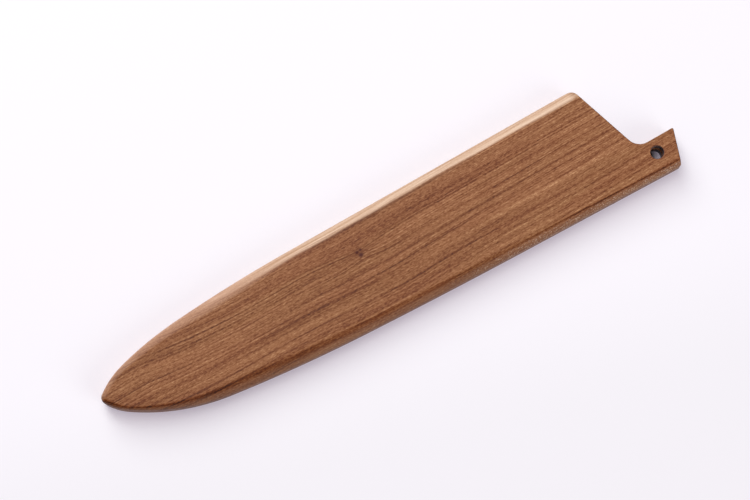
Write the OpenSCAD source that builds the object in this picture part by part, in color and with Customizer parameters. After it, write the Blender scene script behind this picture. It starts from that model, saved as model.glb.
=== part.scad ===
// Blade guard for a long kitchen knife, glued up from four pieces of walnut.
// Two flat cheeks close over a thin core, which is two strips that leave a blade slot between them.
// A slanted cut opens the slot behind the heel, and a tab past it carries the hole for a retaining pin.
// The drawing frame has the spine along y = 0, the edge below it, and x = 0 where the spine starts to bend.

/* [Guard] */
// Overall length, from the tip to the upper corner of the tab
guard_len = 265.5; // [255:0.5:275]
// Width across the guard where the straight part of its edge begins
belly_w = 49.5; // [47:0.5:52]
// Angle at which the edge spreads away from the spine
edge_spread = 1.4; // [0.5:0.1:2.5]
// Thickness of each cheek
cheek_t = 4.5; // [3.5:0.1:6]

/* [Rounded rim] */
// Width of the rounded rim along the middle of the guard
rim_w = 4.5; // [3:0.1:6]
// Width of the rim where the guard starts to narrow
rim_front_w = 6; // [4:0.1:8]
// Width of the rim at the tip
rim_tip_w = 2.3; // [1.5:0.1:2.7]
// Width of the rim on the edge just behind the tip
rim_belly_w = 1.6; // [1:0.1:3]
// Width of the rim below the tab
rim_tab_w = 3; // [2:0.1:5]
// Distance from the tip over which the rim stays narrow
rim_narrow_len = 9; // [6:0.5:14]
// Distance from the tip at which the rim is widest
rim_wide_at = 60; // [45:1:80]
// Distance from the tip at which the rim has its middle width again
rim_middle_at = 170; // [140:1:190]

/* [Blade slot] */
// Thickness of the core, which is the width of the blade slot
core_t = 3; // [2:0.1:5]
// Wall between the slot and the spine
spine_wall = 4; // [3:0.5:7]
// Wall between the slot and the edge
edge_wall = 4.5; // [3:0.5:7]

/* [Spine curve] */
// Radius of the long gentle bend of the spine
spine_r1 = 655; // [500:5:900]
// Angle of the long gentle bend
spine_turn1 = 4.8; // [3:0.1:6]
// Radius of the middle bend of the spine
spine_r2 = 142; // [110:1:180]
// Angle of the middle bend
spine_turn2 = 11.7; // [9:0.1:14]
// Radius of the last bend, which runs into the tip
spine_r3 = 39; // [34:0.5:46]

/* [Edge curve] */
// How much earlier the edge starts to bend than the spine
edge_lead = 92.6; // [85:0.1:100]
// Radius of the first, nearly straight bend of the edge
edge_r1 = 3090; // [2000:10:5000]
// Angle of the first bend
edge_turn1 = 1.5; // [1:0.1:2]
// Radius of the second bend
edge_r2 = 744; // [600:2:900]
// Angle of the second bend
edge_turn2 = 4.7; // [3.5:0.1:6]
// Radius of the belly
edge_r3 = 94; // [84:1:104]
// Angle of the belly
edge_turn3 = 27.4; // [25:0.1:30]
// Radius of the last bend, which runs into the tip
edge_r4 = 22.5; // [20:0.5:26]
// Radius of the nose, where the two curves meet
nose_r = 2.9; // [1.5:0.1:4]

/* [Mouth and tab] */
// Length of the spine, from the tip to the slanted cut
spine_len = 236.8; // [225:0.1:240]
// Lean of the slanted cut from square
mouth_lean = 17.7; // [10:0.1:22]
// Radius of the corner between the spine and the cut
mouth_corner_r = 4; // [1:0.1:5]
// Radius of the hollow where the cut runs into the tab
throat_r = 6.6; // [4:0.1:8]
// Depth of the tab's top below the spine
tab_drop = 35.7; // [33:0.1:37]
// Lean of the tab's end from square
tab_lean = 18.2; // [10:0.1:22]
// Radius of the upper corner of the tab
tab_corner_r = 0.6; // [0.3:0.1:2.5]
// Radius of the lower corner of the tab
tab_heel_r = 0.5; // [0.3:0.1:2.5]

/* [Pin hole] */
// Diameter of the hole through both cheeks
pin_d = 5.6; // [4:0.1:6.5]
// Distance from the hole's centre up to the tab's top
pin_drop = 5.9; // [5:0.1:7]
// Distance from the hole's centre to the far corner of the tab
pin_back = 11.2; // [9:0.1:12]
// Width of the chamfer at each end of the hole
pin_chamfer = 0.3; // [0.1:0.1:0.6]

/* [Hidden] */
$fn = 96;
// How far the uncut plan runs on past the tab's end
MARGIN = 3;
// How far a cutter passes the surface that it cuts
PASS = 1;
// Steps round each corner of the mouth and the tab
CORNER_STEPS = 12;
// Facets of the round across the rim, and the angle at which it runs out into the flat face
RIM_STEPS = 7;
RIM_END = 84;
// Straight wall left between the round and the glue line
RIM_WALL = 0.3;
// Longest step along the outline, and how far a bend may bulge past its chord
PITCH = 20;
BULGE = 0.015;
CHEEK_COLOUR = [0.60, 0.40, 0.29];
UNDER_COLOUR = [0.55, 0.36, 0.26];
SAPWOOD_COLOUR = [0.84, 0.69, 0.56];
CORE_COLOUR = [0.47, 0.30, 0.21];

// A unit vector at an angle, and the direction from one point to another
function unit(a) = [cos(a), sin(a)];
function bearing(p, q) = (atan2(q.y - p.y, q.x - p.x) + 360) % 360;

// The point at distance ra from a and rb from b that lies on the tip's side
function meeting(a, ra, b, rb) =
    let (d = norm(b - a), along = (ra * ra - rb * rb + d * d) / (2 * d))
    let (across = sqrt(ra * ra - along * along), u = (b - a) / d)
    a + along * u + across * [-u.y, u.x];

// Centres of the spine's bends, each tangent to the one before it
spine_a1 = 90 + spine_turn1;
spine_a2 = spine_a1 + spine_turn2;
spine_c1 = [0, -spine_r1];
spine_c2 = spine_c1 + (spine_r1 - spine_r2) * unit(spine_a1);
spine_c3 = spine_c2 + (spine_r2 - spine_r3) * unit(spine_a2);

// Centres of the edge's bends, from the straight part towards the tip
edge_start = [edge_lead, -belly_w];
edge_a0 = 270 - edge_spread;
edge_a1 = edge_a0 - edge_turn1;
edge_a2 = edge_a1 - edge_turn2;
edge_a3 = edge_a2 - edge_turn3;
edge_c1 = edge_start - edge_r1 * unit(edge_a0);
edge_c2 = edge_c1 + (edge_r1 - edge_r2) * unit(edge_a1);
edge_c3 = edge_c2 + (edge_r2 - edge_r3) * unit(edge_a2);
edge_c4 = edge_c3 + (edge_r3 - edge_r4) * unit(edge_a3);

// The nose is tangent to the last bend on each side, and the slot ends in a point behind it
nose_c = meeting(spine_c3, spine_r3 - nose_r, edge_c4, edge_r4 - nose_r);
nose_a1 = bearing(spine_c3, nose_c);
nose_a2 = bearing(edge_c4, nose_c);
slot_tip = meeting(spine_c3, spine_r3 - spine_wall, edge_c4, edge_r4 - edge_wall);
tip_x = nose_c.x - nose_r;
end_x = tip_x + guard_len;
far_x = end_x + MARGIN;

// Bends in order round the tip, as centre, radius, first angle and last angle
spine_bends = [
    [spine_c1, spine_r1, 90, spine_a1],
    [spine_c2, spine_r2, spine_a1, spine_a2],
    [spine_c3, spine_r3, spine_a2, nose_a1]
];
nose_bend = [nose_c, nose_r, nose_a1, nose_a2];
edge_bends = [
    [edge_c4, edge_r4, nose_a2, edge_a3],
    [edge_c3, edge_r3, edge_a3, edge_a2],
    [edge_c2, edge_r2, edge_a2, edge_a1],
    [edge_c1, edge_r1, edge_a1, edge_a0]
];

// Lines of the mouth: the slanted cut, the tab's top and the tab's end
mouth_top = [tip_x + spine_len, 0];
tab_dir = unit(90 - tab_lean);
tab_corner_c = [end_x - tab_corner_r, -tab_drop - tab_corner_r];
tab_end = tab_corner_c + tab_corner_r * unit(-tab_lean);
// The throat's centre touches the cut and the tab's top
throat_c = [
    mouth_top.x + (tab_drop - throat_r) * tan(mouth_lean) + throat_r / cos(mouth_lean),
    throat_r - tab_drop
];
// The mouth corner's centre touches the spine and the cut
mouth_corner_c = [
    mouth_top.x + mouth_corner_r * tan(mouth_lean) - mouth_corner_r / cos(mouth_lean),
    -mouth_corner_r
];
// The heel's centre touches the edge and the tab's end
edge_dir = unit(-edge_spread);
heel_line = edge_start - tab_heel_r * unit(edge_a0);
end_line = tab_end - tab_heel_r * unit(-tab_lean);
heel_gap = end_line - heel_line;
heel_run = (heel_gap.x * tab_dir.y - heel_gap.y * tab_dir.x)
    / (edge_dir.x * tab_dir.y - edge_dir.y * tab_dir.x);
heel_c = heel_line + heel_run * edge_dir;
guard_w = tab_heel_r - heel_c.y;
pin_at = [end_x - pin_back, -tab_drop - pin_drop];

// The round of a corner, in even steps
function corner(c, r, a, b) =
    [for (i = [0:CORNER_STEPS]) c + r * unit(a + (b - a) * i / CORNER_STEPS)];

// The mouth's outline from the spine to the heel, closed well outside the guard
mouth_plan = concat(
    [[mouth_corner_c.x, 2 * MARGIN]],
    corner(mouth_corner_c, mouth_corner_r, 90, mouth_lean),
    corner(throat_c, throat_r, 180 + mouth_lean, 270),
    corner(tab_corner_c, tab_corner_r, 90, -tab_lean),
    corner(heel_c, tab_heel_r, -tab_lean, edge_a0 - 360),
    [
        heel_c + (tab_heel_r + 2 * MARGIN) * unit(edge_a0),
        [end_x + 3 * MARGIN, -guard_w - 2 * MARGIN],
        [end_x + 3 * MARGIN, 2 * MARGIN]
    ]
);

// The rim's width by place along the guard, on the spine and on the edge
spine_rim = [
    [tip_x, rim_tip_w],
    [tip_x + rim_narrow_len, rim_tip_w],
    [tip_x + rim_wide_at, rim_front_w],
    [tip_x + rim_middle_at, rim_w],
    [end_x, rim_w]
];
edge_rim = [
    [tip_x, rim_tip_w],
    [tip_x + rim_narrow_len, rim_belly_w],
    [tip_x + rim_wide_at, rim_front_w],
    [tip_x + rim_middle_at, rim_w],
    [end_x, rim_tab_w]
];

// How many steps a bend takes, and its points after the first with their outward angles
function bend_steps(r, turn) = ceil(max(r * turn * PI / 180 / PITCH, turn / (2 * acos(1 - BULGE / r))));
function bend_points(bend, inset = 0) =
    let (r = bend[1] - inset, turn = bend[3] - bend[2], n = bend_steps(r, turn))
    [for (i = [1:n]) let (a = bend[2] + turn * i / n) [bend[0] + r * unit(a), a]];

// The straight parts in even steps: the spine from past the mouth, the edge to past the tab
line_steps = ceil(far_x / PITCH);
edge_far = edge_start + (far_x - edge_lead) / cos(edge_spread) * edge_dir;
spine_line = [for (i = [0:line_steps]) [[far_x * (1 - i / line_steps), 0], 90]];
edge_line = [for (i = [1:line_steps]) [edge_start + (edge_far - edge_start) * i / line_steps, edge_a0]];

// Stations round the outline, as place, outward angle and rim width
stations = concat(
    [for (q = spine_line) [q[0], q[1], lookup(q[0].x, spine_rim)]],
    [for (bend = spine_bends) for (q = bend_points(bend)) [q[0], q[1], lookup(q[0].x, spine_rim)]],
    [for (bend = concat([nose_bend], edge_bends)) for (q = bend_points(bend))
        [q[0], q[1], lookup(q[0].x, edge_rim)]],
    [for (q = edge_line) [q[0], q[1], lookup(q[0].x, edge_rim)]]
);
outline = [for (s = stations) s[0]];

// The slot follows the same bends inside its walls, and the last bend on each side ends at its tip
slot_plan = concat(
    [[far_x + PASS, -spine_wall], [0, -spine_wall]],
    [for (q = bend_points(spine_bends[0], spine_wall)) q[0]],
    [for (q = bend_points(spine_bends[1], spine_wall)) q[0]],
    [for (q = bend_points([spine_c3, spine_r3, spine_a2, bearing(spine_c3, slot_tip)], spine_wall)) q[0]],
    [for (q = bend_points([edge_c4, edge_r4, bearing(edge_c4, slot_tip), edge_a3], edge_wall)) q[0]],
    [for (i = [1:3]) for (q = bend_points(edge_bends[i], edge_wall)) q[0]],
    [edge_far + PASS * edge_dir - edge_wall * unit(edge_a0)]
);

// A point of the section at a station, inset from the outline and at a height
function inset_point(station, inset, z) =
    let (p = station[0] - inset * unit(station[1])) [p.x, p.y, z];

// The section at a station: the wall, the round and a lip that the top's plane cuts off
function rim_section(station, h) =
    let (w = station[2], rise = min(w, h - RIM_WALL), last = w * (1 - cos(RIM_END)))
    concat(
        [inset_point(station, 0, -PASS)],
        [for (i = [0:RIM_STEPS]) let (a = RIM_END * i / RIM_STEPS)
            inset_point(station, w * (1 - cos(a)), h - rise * (1 - sin(a)))],
        [inset_point(station, last + PASS / 2, h + PASS)]
    );

// The whole plan of a cheek to past the mouth, with its rounded rim
module rimmed_slab(h) {
    n = len(stations);
    m = RIM_STEPS + 3;
    points = [for (s = stations) each rim_section(s, h)];
    sides = [
        for (i = [0:n - 1]) for (j = [0:m - 2])
            let (a = i * m + j, b = ((i + 1) % n) * m + j)
            each [[a, a + 1, b + 1], [a, b + 1, b]]
    ];
    // Both flat faces are closed from the mouth to the tip, between the spine's stations and the edge's
    rungs = [for (i = [0:floor(n / 2) - 2]) [i, i + 1, n - 1 - i, n - 2 - i]];
    flats = [for (r = rungs) each [[r[0], r[1], r[2]], [r[1], r[3], r[2]]]];
    middle = n % 2 == 1 ? [[for (i = [-1:1]) (n - 1) / 2 + i]] : [];
    base = [for (t = concat(flats, middle)) t * m];
    lid = [for (t = base) [t[0], t[2], t[1]] + (m - 1) * [1, 1, 1]];
    intersection() {
        polyhedron(points = points, faces = concat(sides, base, lid));
        translate([tip_x - MARGIN, -guard_w - MARGIN])
            cube([guard_len + 3 * MARGIN, guard_w + 2 * MARGIN, h]);
    }
}

// What the saw takes off past the spine, the slanted cut, the tab and the heel
module mouth_cut(h) {
    translate([0, 0, -PASS]) linear_extrude(h + 2 * PASS) polygon(mouth_plan);
}

module pin_hole(h) {
    translate([pin_at.x, pin_at.y, -PASS]) cylinder(d = pin_d, h = h + 2 * PASS);
    translate([pin_at.x, pin_at.y, h - pin_chamfer])
        cylinder(r1 = pin_d / 2, r2 = pin_d / 2 + pin_chamfer + PASS, h = pin_chamfer + PASS);
}

// One cheek lying on its glued face, with the round rim and the chamfer on top
module cheek() {
    difference() {
        rimmed_slab(cheek_t);
        mouth_cut(cheek_t);
        pin_hole(cheek_t);
    }
}

// The core before it is split: the outline less the slot
module core() {
    difference() {
        linear_extrude(core_t) polygon(outline);
        translate([0, 0, -PASS]) linear_extrude(core_t + 2 * PASS) polygon(slot_plan);
        mouth_cut(core_t);
    }
}

// The half of the plan on the spine's side, parted by a mitre at the tip and along the slot
module spine_side() {
    mitre = (nose_c - slot_tip) / norm(nose_c - slot_tip);
    out = nose_c + (nose_r + 2 * MARGIN) * mitre;
    mid = [end_x + 2 * MARGIN, -guard_w / 2];
    translate([0, 0, -PASS]) linear_extrude(core_t + 2 * PASS)
        polygon([out, slot_tip, mid, [mid.x, 2 * MARGIN], [out.x, 2 * MARGIN]]);
}

// Moves a piece from the drawing frame to the guard's middle, at its own height
module placed(z) {
    translate([-tip_x - guard_len / 2, guard_w / 2, z]) children();
}

module upper_cheek() {
    color(CHEEK_COLOUR) placed(cheek_t + core_t) cheek();
}

module lower_cheek() {
    color(UNDER_COLOUR) placed(cheek_t) mirror([0, 0, 1]) cheek();
}

module spine_strip() {
    color(SAPWOOD_COLOUR) placed(cheek_t) intersection() {
        core();
        spine_side();
    }
}

module edge_strip() {
    color(CORE_COLOUR) placed(cheek_t) difference() {
        core();
        spine_side();
    }
}

upper_cheek();
lower_cheek();
spine_strip();
edge_strip();
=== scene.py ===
import math

import bpy
import numpy as np
from mathutils import Matrix, Vector
from mathutils.geometry import delaunay_2d_cdt


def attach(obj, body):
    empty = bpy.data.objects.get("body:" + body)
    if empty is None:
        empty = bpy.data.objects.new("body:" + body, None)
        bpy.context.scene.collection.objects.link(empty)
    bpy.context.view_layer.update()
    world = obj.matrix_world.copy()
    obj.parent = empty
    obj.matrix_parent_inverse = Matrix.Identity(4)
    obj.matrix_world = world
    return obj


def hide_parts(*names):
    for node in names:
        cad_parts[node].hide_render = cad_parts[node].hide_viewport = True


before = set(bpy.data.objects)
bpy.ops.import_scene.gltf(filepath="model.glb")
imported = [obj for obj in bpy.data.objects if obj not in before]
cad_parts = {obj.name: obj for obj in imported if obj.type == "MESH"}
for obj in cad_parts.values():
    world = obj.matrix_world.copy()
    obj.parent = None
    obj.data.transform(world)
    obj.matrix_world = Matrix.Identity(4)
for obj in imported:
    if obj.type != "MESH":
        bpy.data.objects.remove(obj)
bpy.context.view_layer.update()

# The same sizes as the solids, in millimetres and degrees. In this script's plan the spine
# is y = 0 and the edge lies below it. SHIFT moves a point of the plan to the part's frame.
GUARD_LEN, BELLY_W, EDGE_SPREAD = 265.5, 49.5, 1.4
CHEEK_T, CORE_T = 4.5, 3.0
RIM_W, RIM_FRONT_W, RIM_TIP_W, RIM_BELLY_W, RIM_TAB_W = 4.5, 6.0, 2.3, 1.6, 3.0
RIM_NARROW_LEN, RIM_WIDE_AT, RIM_MIDDLE_AT, RIM_WALL = 9.0, 60.0, 170.0, 0.3
SPINE_WALL, EDGE_WALL = 4.0, 4.5
SPINE_BENDS = [(655.0, 4.8), (142.0, 11.7)]
SPINE_R3 = 39.0
EDGE_LEAD = 92.6
EDGE_BENDS = [(3090.0, 1.5), (744.0, 4.7), (94.0, 27.4)]
EDGE_R4, NOSE_R = 22.5, 2.9
SPINE_LEN, MOUTH_LEAN, MOUTH_CORNER_R, THROAT_R = 236.8, 17.7, 4.0, 6.6
TAB_DROP, TAB_LEAN, TAB_CORNER_R, TAB_HEEL_R = 35.7, 18.2, 0.6, 0.5
PIN_D, PIN_DROP, PIN_BACK = 5.6, 5.9, 11.2

# Softened corners of the sawn edges and of the hole, and the fine joint lines. A sawn
# corner takes at most SAWN_SHARE of the height that it is at.
SAWN_ROUND, SAWN_SHARE, JOINT_ROUND = 0.32, 0.3, 0.06
# Most distance and turn between two points of a bend, and most distance along a line
STEP, TURN_STEP = 1.6, 9.0
LINE_STEP = 3 * STEP
# How far the rim's lines run on past the mouth and the tab, which cut them off, how close
# the rim's last point may be to the cut, and a distance that is outside every piece
MARGIN, CLEAR, OUTSIDE = 3.0, 0.2, 9.0
# Mesh lines: degrees round the rim, the first line on the flat inside it, degrees round a
# sawn corner, the first line inside that, and the sides of the hole, whose flats lie a
# little inside its circle
RIM_RINGS, RIM_FLAT = (6, 12, 20, 28, 36, 44, 52, 60, 68, 76, 83, 90), 0.4
SAWN_RINGS, SAWN_FLAT = (20, 40, 60, 90), 0.15
HOLE_SIDES = 60
HOLE_FLATS = 0.9995 * math.cos(math.pi / HOLE_SIDES)
SHARP_ANGLE = 33.0


def unit(degrees):
    a = math.radians(degrees)
    return np.array([math.cos(a), math.sin(a)])


def bearing(p, q):
    return math.degrees(math.atan2(q[1] - p[1], q[0] - p[0])) % 360


def meeting(a, ra, b, rb):
    """The point at distance ra from a and rb from b, on the tip's side."""
    gap = np.linalg.norm(b - a)
    along = (ra * ra - rb * rb + gap * gap) / (2 * gap)
    u = (b - a) / gap
    return a + along * u + math.sqrt(ra * ra - along * along) * np.array([-u[1], u[0]])


# Bends on both sides as centre, radius and angles, each tangent to the one before it
spine_arcs, centre, radius, angle = [], np.array([0.0, -SPINE_BENDS[0][0]]), SPINE_BENDS[0][0], 90.0
for r, turn in SPINE_BENDS:
    centre = centre + (radius - r) * unit(angle)
    spine_arcs.append((centre, r, angle, angle + turn))
    radius, angle = r, angle + turn
spine_c3 = centre + (radius - SPINE_R3) * unit(angle)
spine_a3 = angle

edge_start = np.array([EDGE_LEAD, -BELLY_W])
edge_a0 = 270.0 - EDGE_SPREAD
edge_dir = unit(-EDGE_SPREAD)
radius, angle = EDGE_BENDS[0][0], edge_a0
edge_arcs, centre = [], edge_start - radius * unit(angle)
for r, turn in EDGE_BENDS:
    centre = centre + (radius - r) * unit(angle)
    edge_arcs.append((centre, r, angle - turn, angle))
    radius, angle = r, angle - turn
edge_c4 = centre + (radius - EDGE_R4) * unit(angle)
edge_a4 = angle

nose_c = meeting(spine_c3, SPINE_R3 - NOSE_R, edge_c4, EDGE_R4 - NOSE_R)
slot_tip = meeting(spine_c3, SPINE_R3 - SPINE_WALL, edge_c4, EDGE_R4 - EDGE_WALL)
spine_arcs.append((spine_c3, SPINE_R3, spine_a3, bearing(spine_c3, nose_c)))
edge_arcs.append((edge_c4, EDGE_R4, bearing(edge_c4, nose_c), edge_a4))
nose_arc = (nose_c, NOSE_R, bearing(spine_c3, nose_c), bearing(edge_c4, nose_c))
tip_x = nose_c[0] - NOSE_R
end_x = tip_x + GUARD_LEN
far_x = end_x + MARGIN

# Centres of the mouth's and the tab's corners
lean = math.radians(MOUTH_LEAN)
mouth_x = tip_x + SPINE_LEN
throat_x = mouth_x + (TAB_DROP - THROAT_R) * math.tan(lean) + THROAT_R / math.cos(lean)
throat_c = np.array([throat_x, THROAT_R - TAB_DROP])
corner_x = mouth_x + MOUTH_CORNER_R * math.tan(lean) - MOUTH_CORNER_R / math.cos(lean)
corner_c = np.array([corner_x, -MOUTH_CORNER_R])
tab_corner_c = np.array([end_x - TAB_CORNER_R, -TAB_DROP - TAB_CORNER_R])
tab_end = tab_corner_c + TAB_CORNER_R * unit(-TAB_LEAN)
tab_dir = unit(90 - TAB_LEAN)
heel_line = edge_start - TAB_HEEL_R * unit(edge_a0)
gap = tab_end - TAB_HEEL_R * unit(-TAB_LEAN) - heel_line
cross = edge_dir[0] * tab_dir[1] - edge_dir[1] * tab_dir[0]
heel_c = heel_line + (gap[0] * tab_dir[1] - gap[1] * tab_dir[0]) / cross * edge_dir
guard_w = TAB_HEEL_R - heel_c[1]
pin_at = np.array([end_x - PIN_BACK, -TAB_DROP - PIN_DROP])
SHIFT = np.array([-tip_x - GUARD_LEN / 2, guard_w / 2])
PIN_PLACE = pin_at + SHIFT

# Width of the rounded rim by the distance from the tip
SPINE_RIM = [(0, RIM_TIP_W), (RIM_NARROW_LEN, RIM_TIP_W), (RIM_WIDE_AT, RIM_FRONT_W),
             (RIM_MIDDLE_AT, RIM_W), (GUARD_LEN, RIM_W)]
EDGE_RIM = [(0, RIM_TIP_W), (RIM_NARROW_LEN, RIM_BELLY_W), (RIM_WIDE_AT, RIM_FRONT_W),
            (RIM_MIDDLE_AT, RIM_W), (GUARD_LEN, RIM_TAB_W)]


def arc(c, r, a, b, inset=0.0):
    """Points round an arc after its first, with their outward angles."""
    r = r - inset
    n = max(2, math.ceil(max(abs(r * math.radians(b - a)) / STEP, abs(b - a) / TURN_STEP)))
    turns = [a + (b - a) * i / n for i in range(1, n + 1)]
    return [(c + r * unit(t), t) for t in turns]


def line(p, q, a):
    """Points along a line after its first, with their outward angle."""
    n = max(1, math.ceil(np.linalg.norm(q - p) / LINE_STEP))
    return [(p + (q - p) * i / n, a) for i in range(1, n + 1)]


def rim_width(x, table):
    return float(np.interp(x - tip_x, *zip(*table)))


def stations():
    """Round the outline from past the mouth to past the tab: place, outward angle, rim width."""
    top = line(np.array([far_x, 0.0]), np.array([0.0, 0.0]), 90.0)
    for a in spine_arcs:
        top += arc(*a)
    low = arc(*nose_arc)
    for a in reversed(edge_arcs):
        low += arc(*a)
    low += line(edge_start, edge_start + (far_x - EDGE_LEAD) * edge_dir, edge_a0)
    made = [(np.array([far_x, 0.0]), 90.0, RIM_W)]
    made += [(p, a, rim_width(p[0], SPINE_RIM)) for p, a in top]
    return made + [(p, a, rim_width(p[0], EDGE_RIM)) for p, a in low]


RIM = stations()
RIM_LINE = [p for p, _, _ in RIM]
RIM_WIDTHS = [width for _, _, width in RIM]


def edge_side(start, end, count):
    """Places on the outline's edge side between two places along the part, in its frame."""
    low = np.array([p + SHIFT for p, a, _ in RIM if a > nose_arc[3]])
    return [(x, float(np.interp(x, low[:, 0], low[:, 1]))) for x in np.linspace(start, end, count)]


def slot_outline():
    """The blade slot inside its walls, as a closed polygon."""
    c, r, a, _ = spine_arcs[2]
    d, s, _, f = edge_arcs[3]
    past_x = far_x + 1.0
    pts = [np.array([past_x, -SPINE_WALL]), np.array([0.0, -SPINE_WALL])]
    for q in spine_arcs[:2] + [(c, r, a, bearing(c, slot_tip))]:
        pts += [p for p, _ in arc(*q, inset=SPINE_WALL)]
    for q in [(d, s, bearing(d, slot_tip), f)] + edge_arcs[2::-1]:
        pts += [p for p, _ in arc(*q, inset=EDGE_WALL)]
    return pts + [edge_start + (past_x - EDGE_LEAD) * edge_dir - EDGE_WALL * unit(edge_a0)]


def mouth_path(inset=0.0):
    """From the heel round the tab and up the slanted cut to the spine, moved inwards by inset."""
    def turn(c, r, a, b, grow=-1):
        r += grow * inset
        return [c + r * unit(a)] + [p for p, _ in arc(c, r, a, b)]

    pts = turn(heel_c, TAB_HEEL_R, edge_a0 - 360, -TAB_LEAN)
    pts += turn(tab_corner_c, TAB_CORNER_R, -TAB_LEAN, 90)
    pts += turn(throat_c, THROAT_R, 270, 180 + MOUTH_LEAN, grow=1)
    pts += turn(corner_c, MOUTH_CORNER_R, MOUTH_LEAN, 90)
    dense = [pts[0]]
    for p in pts[1:]:
        start = dense[-1]
        n = max(1, math.ceil(np.linalg.norm(p - start) / STEP))
        dense += [start + (p - start) * i / n for i in range(1, n + 1)]
    return dense


def plan_loop():
    """The whole plan: along the rim from the spine's end of the mouth to the heel, and back."""
    middle, heel_x = -BELLY_W / 2, (heel_c + TAB_HEEL_R * unit(edge_a0))[0]
    pts = [p for p in RIM_LINE if p[1] > middle and p[0] < corner_c[0] - CLEAR]
    pts += [p for p in RIM_LINE if p[1] <= middle and p[0] < heel_x - CLEAR]
    return pts + mouth_path()


def inside(points, loop):
    """Which of the points lie in the closed polygon."""
    a = np.array(loop)
    b = np.roll(a, -1, axis=0)
    p = np.asarray(points)[:, None]
    spans = (a[:, 1] > p[..., 1]) != (b[:, 1] > p[..., 1])
    with np.errstate(divide="ignore", invalid="ignore"):
        x = a[:, 0] + (p[..., 1] - a[:, 1]) / (b[:, 1] - a[:, 1]) * (b[:, 0] - a[:, 0])
    return (np.sum(spans & (p[..., 0] < x), axis=1) % 2) == 1


def distance(points, path, values=None, batch=2000):
    """Distance of each point from a polyline, and the path's value at the nearest place."""
    a, b = np.array(path[:-1]), np.array(path[1:])
    d = b - a
    best, found = np.full(len(points), 1e9), np.zeros(len(points))
    for i in range(0, len(points), batch):
        p = np.asarray(points[i:i + batch])[:, None]
        t = np.clip(((p - a) * d).sum(2) / (d * d).sum(1), 0, 1)
        gaps = np.linalg.norm(p - (a + d * t[..., None]), axis=2)
        k = gaps.argmin(1)
        rows = np.arange(len(k))
        best[i:i + batch] = gaps[rows, k]
        if values is not None:
            v = np.array(values)
            found[i:i + batch] = v[:-1][k] + (v[1:] - v[:-1])[k] * t[rows, k]
    return best, found


def triangulate(chains):
    """A plan triangulation that holds every chain of points as edges. A chain may be closed."""
    points, edges = [], []
    for chain, closed in chains:
        n = len(points)
        points += [Vector(map(float, p)) for p in chain]
        edges += [(n + i, n + i + 1) for i in range(len(chain) - 1)]
        if closed:
            edges.append((n + len(chain) - 1, n))
    made = delaunay_2d_cdt(points, edges, [], 0, 1e-4)
    return np.array([tuple(v) for v in made[0]]), np.array([tuple(f) for f in made[2]])


def slab(points, faces, top, soft_top=None):
    """A closed solid over plan triangles, from z = 0 to the heights that top gives.

    The joint's corner at the bottom is softened, and with soft_top the one at that height.
    """
    used = np.unique(faces)
    renumber = np.full(len(points), -1)
    renumber[used] = np.arange(len(used))
    points, faces = points[used], renumber[faces]
    sides = points[faces[:, 1]] - points[faces[:, 0]], points[faces[:, 2]] - points[faces[:, 0]]
    back = np.cross(*sides) < 0
    faces[back] = faces[back][:, ::-1]
    directed = dict.fromkeys((f[i], f[(i + 1) % 3]) for f in faces for i in range(3))
    rim = [(a, b) for a, b in directed if (b, a) not in directed]
    inward = np.zeros_like(points)
    for a, b in rim:
        d = points[b] - points[a]
        normal = np.array([-d[1], d[0]]) / np.linalg.norm(d)
        inward[a] += normal
        inward[b] += normal
    length = np.linalg.norm(inward, axis=1)
    edge = length > 1e-9
    inward[edge] /= length[edge][:, None]

    n = len(points)
    upper = points + inward * (JOINT_ROUND if soft_top else 0.0)
    lower = points + inward * JOINT_ROUND
    ring = sorted({a for a, _ in rim})
    place = {v: 2 * n + i for i, v in enumerate(ring)}
    verts = [np.c_[upper, top(points)], np.c_[lower, np.zeros(n)]]
    verts.append(np.c_[points[ring], np.full(len(ring), JOINT_ROUND)])
    if soft_top:
        verts.append(np.c_[points[ring], np.full(len(ring), soft_top - JOINT_ROUND)])
    made = [tuple(f) for f in faces] + [tuple(n + f[::-1]) for f in faces]
    for a, b in rim:
        low_a, low_b = place[a], place[b]
        made.append((n + a, n + b, low_b, low_a))
        if soft_top:
            mid_a, mid_b = low_a + len(ring), low_b + len(ring)
            made += [(low_a, low_b, mid_b, mid_a), (mid_a, mid_b, b, a)]
        else:
            made.append((low_a, low_b, b, a))
    return np.vstack(verts), made


def piece(name, verts, faces, low, node, material, flip=False):
    """A mesh object in the part's frame, in metres, standing for its CAD node."""
    verts = np.array(verts)
    if flip:
        verts[:, 2] *= -1
        faces = [f[::-1] for f in faces]
    verts[:, :2] += SHIFT
    verts[:, 2] += low
    mesh = bpy.data.meshes.new(name)
    mesh.from_pydata((verts / 1000).tolist(), [], [tuple(map(int, f)) for f in faces])
    mesh.validate()
    mesh.shade_smooth()
    mesh.set_sharp_from_angle(angle=math.radians(SHARP_ANGLE))
    mesh.materials.append(material)
    obj = bpy.data.objects.new(name, mesh)
    bpy.context.scene.collection.objects.link(obj)
    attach(obj, "root")
    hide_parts(node)


LOOP = plan_loop()
MOUTH = mouth_path()


def round_drop(share):
    """How far a quarter round lies below its top, as a share of its height, by share of width."""
    return 1 - np.sqrt(np.clip(1 - (1 - np.clip(share, 0, 1)) ** 2, 0, 1))


def cheek_top(points):
    """Heights of the cheek's outer face, with its rounded rim and softened sawn corners."""
    gap, width = distance(points, RIM_LINE, RIM_WIDTHS)
    z = CHEEK_T - np.minimum(width, CHEEK_T - RIM_WALL) * round_drop(gap / width)
    sawn = np.minimum(SAWN_ROUND, SAWN_SHARE * z)
    cut, _ = distance(points, MOUTH)
    hole = np.abs(np.linalg.norm(points - pin_at, axis=1) - PIN_D / 2)
    return z - sawn * round_drop(np.minimum(cut, hole) / sawn)


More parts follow.
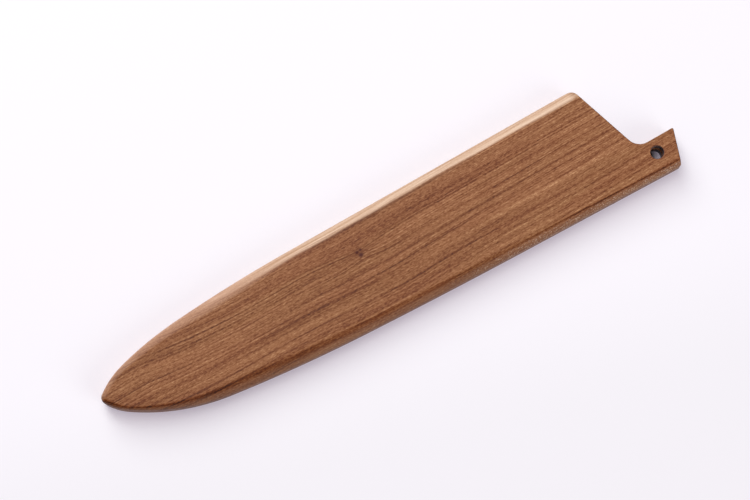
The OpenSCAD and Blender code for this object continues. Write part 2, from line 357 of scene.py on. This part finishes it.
def cheek_mesh():
    chains = [(LOOP, True)]
    for ring in RIM_RINGS:
        share = 1 - math.cos(math.radians(ring))
        chains.append(([p - width * share * unit(a) for p, a, width in RIM], False))
    chains.append(([p - (width + RIM_FLAT) * unit(a) for p, a, width in RIM], False))
    insets = [SAWN_ROUND * (1 - math.cos(math.radians(ring))) for ring in SAWN_RINGS]
    insets.append(SAWN_ROUND + SAWN_FLAT)
    for e in insets:
        chains.append((mouth_path(e), False))
    around = [unit(360 * i / HOLE_SIDES) for i in range(HOLE_SIDES)]
    for e in [0.0] + insets:
        chains.append(([pin_at + (PIN_D / 2 + e) * u for u in around], True))
    points, faces = triangulate(chains)
    middle = points[faces].mean(axis=1)
    keep = inside(middle, LOOP) & (np.linalg.norm(middle - pin_at, axis=1) > PIN_D / 2 * HOLE_FLATS)
    return slab(points, faces[keep], cheek_top)


def strip_mesh(spine_side):
    """One of the core's two strips, which meet in a mitre at the tip."""
    slot = slot_outline()
    mitre = (nose_c - slot_tip) / np.linalg.norm(nose_c - slot_tip)
    cut = [nose_c + (NOSE_R + MARGIN) * mitre, slot_tip]
    points, faces = triangulate([(LOOP, True), (slot, True), (cut, False)])
    middle = points[faces].mean(axis=1)
    keep = inside(middle, LOOP) & ~inside(middle, slot)
    half = [cut[0], slot_tip, (far_x + OUTSIDE, -guard_w / 2), (far_x + OUTSIDE, OUTSIDE),
            (cut[0][0], OUTSIDE)]
    keep &= inside(middle, half) == spine_side
    return slab(points, faces[keep], lambda p: np.full(len(p), CORE_T), soft_top=CORE_T)


def linear(r, g, b):
    """A colour written as 0 to 255, as the shader wants it."""
    parts = [c / 255 for c in (r, g, b)]
    return tuple(c / 12.92 if c <= 0.04045 else ((c + 0.055) / 1.055) ** 2.4 for c in parts) + (1.0,)


class Shade:
    """A material's node tree, with short names for its parts."""

    def __init__(self, name):
        self.material = bpy.data.materials.new(name)
        self.material.use_nodes = True
        self.tree = self.material.node_tree
        self.shader = self.tree.nodes["Principled BSDF"]
        self.place = self.tree.nodes.new("ShaderNodeTexCoord").outputs["Object"]

    def put(self, value, socket):
        """Link another node's output to a socket, or set the socket's number or colour."""
        if isinstance(value, bpy.types.NodeSocket):
            self.tree.links.new(value, socket)
        else:
            socket.default_value = value

    def node(self, kind, inputs=(), **settings):
        made = self.tree.nodes.new(kind)
        for key, value in settings.items():
            setattr(made, key, value)
        for value, socket in zip(inputs, made.inputs):
            self.put(value, socket)
        return made

    def calc(self, kind, *inputs, clamp=False):
        return self.node("ShaderNodeMath", inputs, operation=kind, use_clamp=clamp).outputs[0]

    def chain(self, kind, first, *rest):
        for term in rest:
            first = self.calc(kind, first, term)
        return first

    def add(self, *terms):
        return self.chain("ADD", *terms)

    def mul(self, *terms):
        return self.chain("MULTIPLY", *terms)

    def most(self, *terms):
        return self.chain("MAXIMUM", *terms)

    def sub(self, a, b):
        return self.calc("SUBTRACT", a, b)

    def square(self, value):
        return self.calc("POWER", value, 2.0)

    def scaled(self, value, factor, offset, clamp=False):
        """The value times a factor, plus an offset."""
        return self.calc("MULTIPLY_ADD", value, factor, offset, clamp=clamp)

    def total(self, start, *parts):
        """A start plus each part times its amount."""
        return self.add(start, *(self.mul(part, amount) for part, amount in parts))

    def fading(self, value, rate=1.0):
        """1 at zero, falling towards 0 as the value grows."""
        return self.calc("EXPONENT", self.mul(value, -rate))

    def bell(self, value, centre, width):
        """1 at the centre, falling away over the width on both sides."""
        t = self.calc("DIVIDE", self.sub(value, centre), width)
        return self.fading(self.mul(t, t))

    def span(self, value, start, end, low, high, **settings):
        """From low to high while the value goes from start to end."""
        return self.node("ShaderNodeMapRange", [value, start, end, low, high], **settings).outputs[0]

    def step(self, value, start, end):
        """A smooth step from 0 to 1 while the value goes from start to end."""
        return self.span(value, start, end, 0.0, 1.0, interpolation_type="SMOOTHSTEP")

    def curve(self, value, points):
        """A smooth curve through given points, level outside them."""
        (low, _), (high, _) = points[0], points[-1]
        heights = [height for _, height in points]
        least, most = min(heights), max(heights)
        t = self.calc("DIVIDE", self.sub(value, low), high - low, clamp=True)
        made = self.node("ShaderNodeFloatCurve", [1.0, t])
        spots = made.mapping.curves[0].points
        while len(spots) < len(points):
            spots.new(0.5, 0.5)
        for spot, (at, height) in zip(spots, points):
            spot.location = ((at - low) / (high - low), (height - least) / (most - least))
        made.mapping.update()
        return self.scaled(made.outputs[0], most - least, least)

    def ramp(self, value, stops):
        """A colour ramp through stops of place and 0 to 255 colour."""
        made = self.node("ShaderNodeValToRGB", [value])
        elements = made.color_ramp.elements
        while len(elements) < len(stops):
            elements.new(0.5)
        for element, (at, rgb) in zip(elements, stops):
            element.position, element.color = at, linear(*rgb)
        return made.outputs[0]

    def mix(self, share, a, b, kind="MIX"):
        """Colour a with a share of colour b."""
        made = self.node("ShaderNodeMix", data_type="RGBA", blend_type=kind)
        for key, value in (("Factor_Float", share), ("A_Color", a), ("B_Color", b)):
            self.put(value, next(s for s in made.inputs if s.identifier == key))
        return next(s for s in made.outputs if s.identifier == "Result_Color")


# Noises in the wood: number of the draw, sizes in millimetres along the board, across it
# and through it, detail, roughness, and whether the noise follows the grain
NOISES = {
    "wander": (1, (46, 9, 14), 1, 0.5, False),
    "waver": (2, (9, 3, 5), 2, 0.5, False),
    "band": (3, (90, 2.6, 6), 2, 0.5, True),
    "ring": (4, (160, 0.66, 2), 2, 0.55, True),
    "fibre": (5, (26, 0.4, 0.6), 2, 0.6, True),
    "grit": (6, (1.15, 0.34, 0.45), 1, 0.5, False),
    "pores": (7, (3.6, 0.25, 0.3), 1, 0.5, True),
    "patches": (8, (34, 1.4, 3), 1, 0.5, True),
    # Wobble of the painted shade in the lower rim's crease
    "crease_shade": (9, (28, 9, 9), 1, 0.5, False),
    "tint": (10, (60, 6, 9), 2, 0.5, True),
    # Painted glints on the lower wall
    "glints": (11, (0.75, 0.6, 0.6), 1, 0.5, False),
    "border": (13, (24, 0.8, 2), 2, 0.5, True),
}
DRAW_STEP = 17.3

# Curves along the board, as places from the tip's end to the tab's and their values. The
# grain drifts up and down, and the tip half's grain spreads by a share of the height.
DRIFT = [(-132, 1.3), (-64, 1.0), (-40, 0.8), (-24, -0.1), (-4, -0.7), (20, -0.1), (56, 0.0),
         (92, 0.4), (132, 0.9)]
SPREAD = [(-132, 2.2), (-64, 1.8), (-28, 0.9), (8, 0.3), (44, 0.0), (132, 0.0)]
# It fans out from a place towards the tip, and leans by a share of the depth below the top
FAN_FROM, FAN_LEN, FAN_POWER, GRAIN_LEAN = -64.0, 48.0, 1.8, 0.35
# Depth of the painted shade line in the lower rim's crease, and the tone of the whole board
CREASE_SHADE = [(-132, 0.0), (-95, 0.0), (-75, 0.04), (-42, 0.08), (-9, 0.10), (15, 0.10), (39, 0.14),
          (68, 0.14), (87, 0.34), (107, 0.34), (120, 0.26), (132, 0.12)]
TONE = [(-132, 0.0), (-60, 0.0), (-20, -0.015), (30, 0.0), (90, 0.035), (132, 0.03)]
# How far round the spine's rim the sapwood reaches, and how soft its border is; near the tip the band is
# mostly a painted sheen
SAP_BOUND = [(-132, 0.34), (-112, 0.27), (-90, 0.31), (-55, 0.30), (-15, 0.26), (19, 0.19),
             (44, 0.19), (63, 0.15), (78, 0.13), (90, 0.08), (104, 0.05), (132, 0.05)]
SAP_SOFT = [(-132, 0.50), (-112, 0.50), (-90, 0.40), (-55, 0.26), (-15, 0.12), (19, 0.11),
            (44, 0.08), (63, 0.10), (78, 0.12), (90, 0.14), (132, 0.15)]
# The outline along the belly, beside which the wood is darker, and the width of the ring
# round the hole in which its painted shade fades
BELLY_LINE = edge_side(-131.0, -50.0, 9)
HOLE_FADE = 0.3

# Growth lines of the board by their height across it: place, width and depth
GROWTH_LINES = [
    (15.0, 0.45, 0.10), (12.3, 0.30, 0.22), (9.6, 0.30, 0.20), (5.8, 0.26, 0.24),
    (1.7, 0.28, 0.20), (-1.5, 0.30, 0.18), (-4.9, 0.28, 0.16), (-10.6, 0.34, 0.24),
    (-14.0, 0.34, 0.20), (-19.4, 0.50, 0.12),
]
# The knot, how far it bends the grain along and across the board, and its dark spots as
# places beside it and sizes
KNOT, KNOT_REACH = (-8.7, 9.5), (8.0, 3.6)
KNOT_SPOTS = [(-0.1, -1.1, 0.95), (-1.1, 0.6, 0.72), (0.6, 0.9, 0.55)]

# Colours by tone, from 0 to 1: heartwood, a tint that warms its dark parts, and sapwood
HEART = [(0.0, (46, 16, 5)), (0.3, (102, 55, 23)), (0.55, (138, 89, 55)),
         (0.75, (161, 110, 74)), (1.0, (201, 152, 112))]
DARK_TINT = [(0.3, (255, 231, 204)), (0.56, (255, 251, 246)), (0.75, (255, 255, 255))]
SAP = [(0.0, (134, 90, 62)), (0.45, (194, 154, 124)), (0.7, (214, 178, 151)),
       (1.0, (234, 204, 178))]
PINK_TINT, GOLD_TINT = linear(195, 183, 174), linear(187, 187, 171)
# Colours of the lower wall: a painted sheen of the floor's light, painted glints, and painted shade under
# it
WALL_FLOOR_SHEEN, WALL_GLINT, WALL_UNDER_SHADE = linear(166, 126, 106), linear(232, 198, 174), linear(72, 44, 34)
# Painted grey shade inside the pin hole
HOLE_SHADE_GREY = linear(118, 102, 102)
# Painted pink sheen for the rim near the tip, and the dark line below the sapwood
SAP_PINK_SHEEN, SAP_BORDER = linear(217, 168, 145), linear(84, 46, 28)
KNOT_HALO, KNOT_DARK = linear(100, 48, 22), linear(70, 16, 4)
# The tone of plain heartwood and sapwood, the surface's gloss, and its relief in metres
HEART_TONE, SAP_TONE = 0.572, 0.68
GLOSS, BUMP, BUMP_HEIGHT = 0.22, 0.35, 0.00008


class Wood(Shade):
    """Oiled walnut whose growth runs along x. Places are in millimetres in the part's frame."""

    def __init__(self, name, seed, lines, knot=None, dark=0.0):
        super().__init__(name)
        self.seed = seed
        places = self.node("ShaderNodeSeparateXYZ", [self.place]).outputs
        self.x, self.y, self.z = (self.mul(place, 1000.0) for place in places)
        normal = self.node("ShaderNodeNewGeometry").outputs["Normal"]
        self.nx, self.ny, self.nz = self.node("ShaderNodeSeparateXYZ", [normal]).outputs
        self.near_tip = self.step(self.x, -20.0, -90.0)
        # Painted shade in the pin hole, fading out over a thin ring round it
        from_pin = self.ellipse(PIN_PLACE, 1.0, 1.0)
        self.in_hole = self.step(from_pin, (PIN_D / 2 + HOLE_FADE) ** 2, (PIN_D / 2) ** 2)
        self.across = self.grain(knot)
        self.heart = self.heartwood(self.darkened(self.figure(lines, dark)))

    def noise(self, name):
        """One of the NOISES, from -1 to 1."""
        draw, sizes, detail, rough, follows = NOISES[name]
        places = (self.x, self.across if follows else self.y, self.z)
        start = self.seed + DRAW_STEP * draw
        vector = [self.scaled(place, 1.0 / size, start) for place, size in zip(places, sizes)]
        made = self.node("ShaderNodeTexNoise", [self.node("ShaderNodeCombineXYZ", vector).outputs[0]])
        for key, value in (("Scale", 1.0), ("Detail", detail), ("Roughness", rough)):
            made.inputs[key].default_value = value
        return self.scaled(made.outputs[0], 2.0, -1.0)

    def ellipse(self, centre, a, b):
        """0 at the centre, 1 on an ellipse with those half axes, growing as the square."""
        dx, dy = self.sub(self.x, centre[0]), self.sub(self.y, centre[1])
        return self.add(self.square(self.calc("DIVIDE", dx, a)), self.square(self.calc("DIVIDE", dy, b)))

    def grain(self, knot):
        """Height across the board, bent as the grain is: adrift, fanned at the tip, round the knot."""
        fan = self.calc("DIVIDE", self.sub(FAN_FROM, self.x), FAN_LEN, clamp=True)
        fan = self.calc("POWER", fan, FAN_POWER)
        lift = self.mul(fan, self.most(self.scaled(self.y, 0.16, 2.4), 1.2))
        spread = self.mul(self.curve(self.x, SPREAD), self.y, -0.05)
        across = self.sub(self.y, self.add(self.curve(self.x, DRIFT), spread, lift))
        self.waver = self.noise("waver")
        across = self.total(across, (self.noise("wander"), 0.6), (self.waver, 0.06))
        across = self.add(across, self.scaled(self.z, GRAIN_LEAN, -GRAIN_LEAN * (2 * CHEEK_T + CORE_T)))
        if knot:
            self.from_knot = self.ellipse(knot, *KNOT_REACH)
            pinch = self.mul(self.fading(self.from_knot), self.sub(self.y, knot[1]), 0.9)
            across = self.add(across, pinch)
        return across

    def figure(self, lines, dark):
        """Tone of the wood: broad bands, rings, fibres, short pores and dark growth lines."""
        self.band, self.ring, self.fibre = self.noise("band"), self.noise("ring"), self.noise("fibre")
        self.grit = self.noise("grit")
        self.pores = self.step(self.noise("pores"), 0.27, 0.55)
        tone = self.total(HEART_TONE - dark, (self.band, 0.22), (self.ring, 0.35), (self.fibre, 0.28),
                          (self.grit, 0.42), (self.pores, -0.19))
        if lines:
            patches = self.scaled(self.noise("patches"), 0.9, 0.75, clamp=True)
            drawn = [self.mul(self.bell(self.across, at, width), depth) for at, width, depth in lines]
            tone = self.sub(tone, self.mul(self.add(*drawn), patches, 1.15))
        return tone

    def darkened(self, tone):
        """The tone with darker sawn ends and belly near the tip, painted shade on the lower rim, partly a
        darker line in the wood there, and painted shade in the hole.
        """
        x, ny = self.x, self.ny
        ends = self.mul(self.step(self.calc("ABSOLUTE", self.nx), 0.15, 0.6), self.step(x, -80.0, -60.0))
        # Painted shade where the lower rim turns away from the light, partly a darker line in the wood,
        # stronger near the tip
        rim = self.mul(self.step(ny, -0.06, -0.24), self.bell(ny, -0.24, 0.34),
                       self.scaled(self.step(x, -20.0, -75.0), 0.11, 0.12))
        # Painted shade in a thin line at the lower rim's crease, partly a darker line in the wood
        crease_shade = self.bell(self.scaled(self.step(x, 70.0, 90.0), 0.04, ny), -0.23, 0.085)
        crease_shade = self.mul(crease_shade, self.curve(x, CREASE_SHADE), self.scaled(self.noise("crease_shade"), 0.3, 0.95))
        from_edge = self.sub(self.y, self.curve(x, BELLY_LINE))
        belly = self.mul(self.step(from_edge, 9.0, 3.0), self.step(x, -72.0, -95.0))
        tone = self.total(tone, (ends, -0.36), (rim, -1.0), (crease_shade, -1.0), (belly, -0.09),
                          (self.in_hole, -0.20))
        return self.add(tone, self.curve(x, TONE))

    def heartwood(self, tone):
        """Brown heartwood of that tone, with a painted sheen of the floor's light and painted glints on
        the lower wall, painted shade under it, and painted grey shade in the hole.
        """
        x = self.x
        tint = self.mix(self.step(self.noise("tint"), -0.35, 0.45), PINK_TINT, GOLD_TINT)
        heart = self.mix(0.4, self.ramp(tone, HEART), tint, kind="SOFT_LIGHT")
        heart = self.mix(1.0, heart, self.ramp(tone, DARK_TINT), kind="MULTIPLY")
        wall = self.step(self.ny, -0.30, -0.70)
        # Painted sheen of the floor's light on the lower wall, duller and greyer
        heart = self.mix(self.mul(wall, 0.24), heart, WALL_FLOOR_SHEEN)
        # Painted glints of light as pale specks on the lower wall, more towards the tab
        glints = self.mul(self.step(self.noise("glints"), 0.10, 0.36), wall,
                          self.scaled(self.step(x, 10.0, 60.0), 0.50, 0.08))
        heart = self.mix(glints, heart, WALL_GLINT)
        # Painted shade where the lower wall turns under towards the floor, away from the very tip
        under_shade = self.mul(wall, self.step(self.nz, 0.20, -0.15), self.step(x, -128.0, -95.0))
        heart = self.mix(self.mul(under_shade, 0.45), heart, WALL_UNDER_SHADE)
        # Painted grey shade inside the pin hole
        return self.mix(self.mul(self.in_hole, 0.45), heart, HOLE_SHADE_GREY)

    def sapwood(self, cream_highlight=0.0):
        """Pale sapwood, darker near the tip with a painted pink sheen there, with a share of painted cream
        highlight.
        """
        tone = self.total(SAP_TONE, (self.band, 0.16), (self.fibre, 0.42), (self.ring, 0.44),
                          (self.near_tip, -0.18), (self.grit, 0.2), (cream_highlight, 0.15))
        # Painted pink sheen of light on the rim near the tip
        return self.mix(self.mul(self.near_tip, 0.5), self.ramp(tone, SAP), SAP_PINK_SHEEN)

    def spine_rim(self):
        """Sapwood on the spine's rounded rim, weaker near the tip, where it is partly a painted pink
        sheen, with a painted cream highlight along it and a dark line below it.
        """
        x, y, waver = self.x, self.y, self.waver
        turn = self.total(self.ny, (self.noise("border"), 0.16))
        share = self.calc("DIVIDE", self.sub(turn, self.curve(x, SAP_BOUND)), self.curve(x, SAP_SOFT))
        share = self.scaled(share, 0.5, 0.5, clamp=True)
        inner_rim = self.mul(self.step(x, -66.0, -88.0), self.step(turn, 0.95, 0.70))
        share = self.mul(share, self.most(self.step(y, 12.0, 15.0), self.step(x, -60.0, -68.0)),
                         self.step(self.ny, 0.004, 0.06), self.step(self.nx, 0.75, 0.25),
                         self.scaled(self.step(x, 101.0, 104.3), -0.6, 1.0),
                         self.scaled(self.near_tip, -0.10, 1.0), self.scaled(inner_rim, -0.38, 1.0))
        # It shows on the sawn end too
        upright = self.step(self.calc("ABSOLUTE", self.nz), 0.75, 0.50)
        sawn_end = self.mul(self.step(self.nx, 0.05, 0.35), upright,
                            self.step(self.scaled(waver, 0.3, y), 21.3, 22.2))
        share = self.most(share, self.mul(sawn_end, 0.85))
        # Painted cream highlight along the rim's slope that faces the light
        cream_highlight = self.mul(self.bell(turn, 0.36, 0.16), self.step(x, 10.0, 70.0))
        border = self.mul(self.bell(self.scaled(waver, 0.25, y), 21.2, 0.5), self.step(x, -45.0, -10.0),
                          self.step(x, 66.0, 40.0), 0.36)
        return self.mix(border, self.mix(share, self.heart, self.sapwood(cream_highlight)), SAP_BORDER), share

    def knotted(self, colour, knot):
        """The colour with a small knot: a soft halo and dark spots."""
        colour = self.mix(self.mul(self.fading(self.from_knot, 3.2), 0.38), colour, KNOT_HALO)
        spots = []
        for dx, dy, size in KNOT_SPOTS:
            spot = self.ellipse((knot[0] + dx, knot[1] + dy), size * 1.15, size)
            spots.append(self.fading(self.square(spot)))
        return self.mix(self.mul(self.most(*spots), 0.94), colour, KNOT_DARK)

    def finish(self, colour, share):
        """Set the shader's colour, roughness and bump. share is the share of sapwood."""
        rough = self.total(0.50, (self.fibre, 0.07), (self.pores, 0.12), (share, 0.03))
        sockets = self.shader.inputs
        self.put(colour, sockets["Base Color"])
        self.put(rough, sockets["Roughness"])
        sockets["Specular IOR Level"].default_value = GLOSS
        bump = self.node("ShaderNodeBump")
        height = self.total(0.0, (self.fibre, 0.5), (self.grit, 0.35), (self.pores, -0.9))
        for key, value in (("Strength", BUMP), ("Distance", BUMP_HEIGHT), ("Height", height)):
            self.put(value, bump.inputs[key])
        self.put(bump.outputs[0], sockets["Normal"])
        return self.material


def walnut(name, seed, lines, knot=None, dark=0.0):
    """Heartwood with sapwood along the spine's rim."""
    wood = Wood(name, seed, lines, knot, dark)
    colour, share = wood.spine_rim()
    return wood.finish(wood.knotted(colour, knot) if knot else colour, share)


def sapwood(name, seed):
    """Sapwood all through, browner near the tip."""
    wood = Wood(name, seed, [])
    share = wood.scaled(wood.near_tip, -0.35, 1.0)
    return wood.finish(wood.mix(share, wood.heart, wood.sapwood()), share)


LOWER_LINES = [(at + 1.3, width, depth) for at, width, depth in GROWTH_LINES]
verts, faces = cheek_mesh()
piece("cheek_upper", verts, faces, CHEEK_T + CORE_T, "upper_cheek",
      walnut("upper_walnut", 3.1, GROWTH_LINES, KNOT))
piece("cheek_lower", verts, faces, CHEEK_T, "lower_cheek",
      walnut("lower_walnut", 61.7, LOWER_LINES, dark=0.03), flip=True)
verts, faces = strip_mesh(True)
piece("core_spine", verts, faces, CHEEK_T, "spine_strip", sapwood("spine_sapwood", 113.9))
verts, faces = strip_mesh(False)
piece("core_edge", verts, faces, CHEEK_T, "edge_strip",
      walnut("core_walnut", 171.3, GROWTH_LINES[::3], dark=0.06))

# The view of the photograph: nearly from above, with the guard turned in the frame. Lengths
# from here on are in metres.
TURN, TILT, FAR = math.radians(29.943), math.radians(9.3), 0.974
LOOK = Vector((-0.0017497, 0.0089624, 0.0))
LENS, SENSOR, CLIP = 110.0, 36.0, (0.05, 20.0)
turned = Matrix.Rotation(-TURN, 3, "Z")
right = turned @ Vector((1, 0, 0))
up = turned @ Vector((0, math.cos(TILT), math.sin(TILT)))
back = turned @ Vector((0, -math.sin(TILT), math.cos(TILT)))
camera = bpy.data.objects.new("camera", bpy.data.cameras.new("camera"))
bpy.context.scene.collection.objects.link(camera)
camera.data.lens, camera.data.sensor_width = LENS, SENSOR
camera.data.clip_start, camera.data.clip_end = CLIP
axes = Matrix((right, up, back)).transposed().to_4x4()
camera.matrix_world = Matrix.Translation(LOOK + back * FAR) @ axes
bpy.context.scene.camera = camera

# The paper: half its size, its colour in the open and its painted shade at the bottom of the
# pin hole, and the light that it adds where the camera or a reflection sees it
PAPER_HALF, PAPER_LOW = 4.0, 0.0001
PAPER, PAPER_SHADE_IN_HOLE = (0.645, 0.655, 0.645, 1), (0.33, 0.31, 0.32, 1)
PAPER_GLOW, GLOW = (0.94, 0.80, 1.0, 1), 0.34
# Spots of painted shade by the hole, without that light: place beside it, inner and outer radius, most
# light
SHADE_SPOTS = [((0.0, 0.0, 0.0), 0.0036, 0.0050, 1.0),
              ((-0.0026, 0.0010, 0.0), 0.0018, 0.0066, 0.75)]
# The paper is dimmer towards the lower right: direction, start, end and the light left there
DIM_TOWARDS, DIM_START, DIM_END, DIM_LEFT = (0.25, -1.0, 0.0), 0.020, 0.090, 0.87


def white_paper():
    """Paper that is bright to the camera and in reflections, and keeps the object's shadow."""
    w = Shade("white_paper")
    rays = w.node("ShaderNodeLightPath").outputs
    seen = w.most(rays["Is Camera Ray"], rays["Is Glossy Ray"])
    lit = []
    for beside, near, far, most in SHADE_SPOTS:
        spot = Vector((*(PIN_PLACE / 1000), 0)) + turned @ Vector(beside)
        gap = w.node("ShaderNodeVectorMath", [w.place, spot], operation="DISTANCE").outputs["Value"]
        lit.append(w.span(gap, near, far, 0.0, most))
    lit = w.most(*lit)
    slope = turned @ Vector(DIM_TOWARDS)
    along = w.node("ShaderNodeVectorMath", [w.place, slope], operation="DOT_PRODUCT").outputs["Value"]
    start = LOOK.dot(slope)
    dim = w.span(along, start + DIM_START, start + DIM_END, 1.0, DIM_LEFT, interpolation_type="SMOOTHSTEP")
    # Painted shade on the paper at the bottom of the pin hole
    w.put(w.mix(lit, PAPER_SHADE_IN_HOLE, PAPER), w.shader.inputs["Base Color"])
    w.shader.inputs["Roughness"].default_value = 0.9
    w.shader.inputs["Specular IOR Level"].default_value = 0.1
    glow = w.node("ShaderNodeEmission", [PAPER_GLOW, w.mul(seen, GLOW, lit, dim)])
    both = w.node("ShaderNodeAddShader", [w.shader.outputs[0], glow.outputs[0]])
    w.put(both.outputs[0], w.tree.nodes["Material Output"].inputs["Surface"])
    return w.material


mesh = bpy.data.meshes.new("floor")
corners = [(-1, -1), (1, -1), (1, 1), (-1, 1)]
mesh.from_pydata([(a * PAPER_HALF, b * PAPER_HALF, 0) for a, b in corners], [], [(0, 1, 2, 3)])
mesh.materials.append(white_paper())
floor = bpy.data.objects.new("floor", mesh)
bpy.context.scene.collection.objects.link(floor)
floor.location.z = -PAPER_LOW

# Lamps by their place as the camera sees the table: place, size and power
LAMPS = {
    "key": ((-0.60, 1.05, 1.05), 1.1, 14.2),
    "high": ((-0.20, 0.40, 1.50), 1.0, 11.2),
    "side": ((1.10, -0.75, 0.90), 1.1, 7.4),
}
SKY, SKY_LIGHT = (1.0, 0.99, 1.0, 1), 0.16

for name, (place, size, watts) in LAMPS.items():
    data = bpy.data.lights.new(name, "AREA")
    data.shape, data.size, data.energy = "DISK", size, watts
    lamp = bpy.data.objects.new(name, data)
    bpy.context.scene.collection.objects.link(lamp)
    lamp.location = turned @ Vector(place)
    lamp.rotation_euler = (-lamp.location).to_track_quat("-Z", "Y").to_euler()

world = bpy.data.worlds.new("room")
bpy.context.scene.world = world
world.use_nodes = True
sky = world.node_tree.nodes["Background"]
sky.inputs["Color"].default_value = SKY
sky.inputs["Strength"].default_value = SKY_LIGHT
bpy.context.scene.view_settings.view_transform = "Standard"
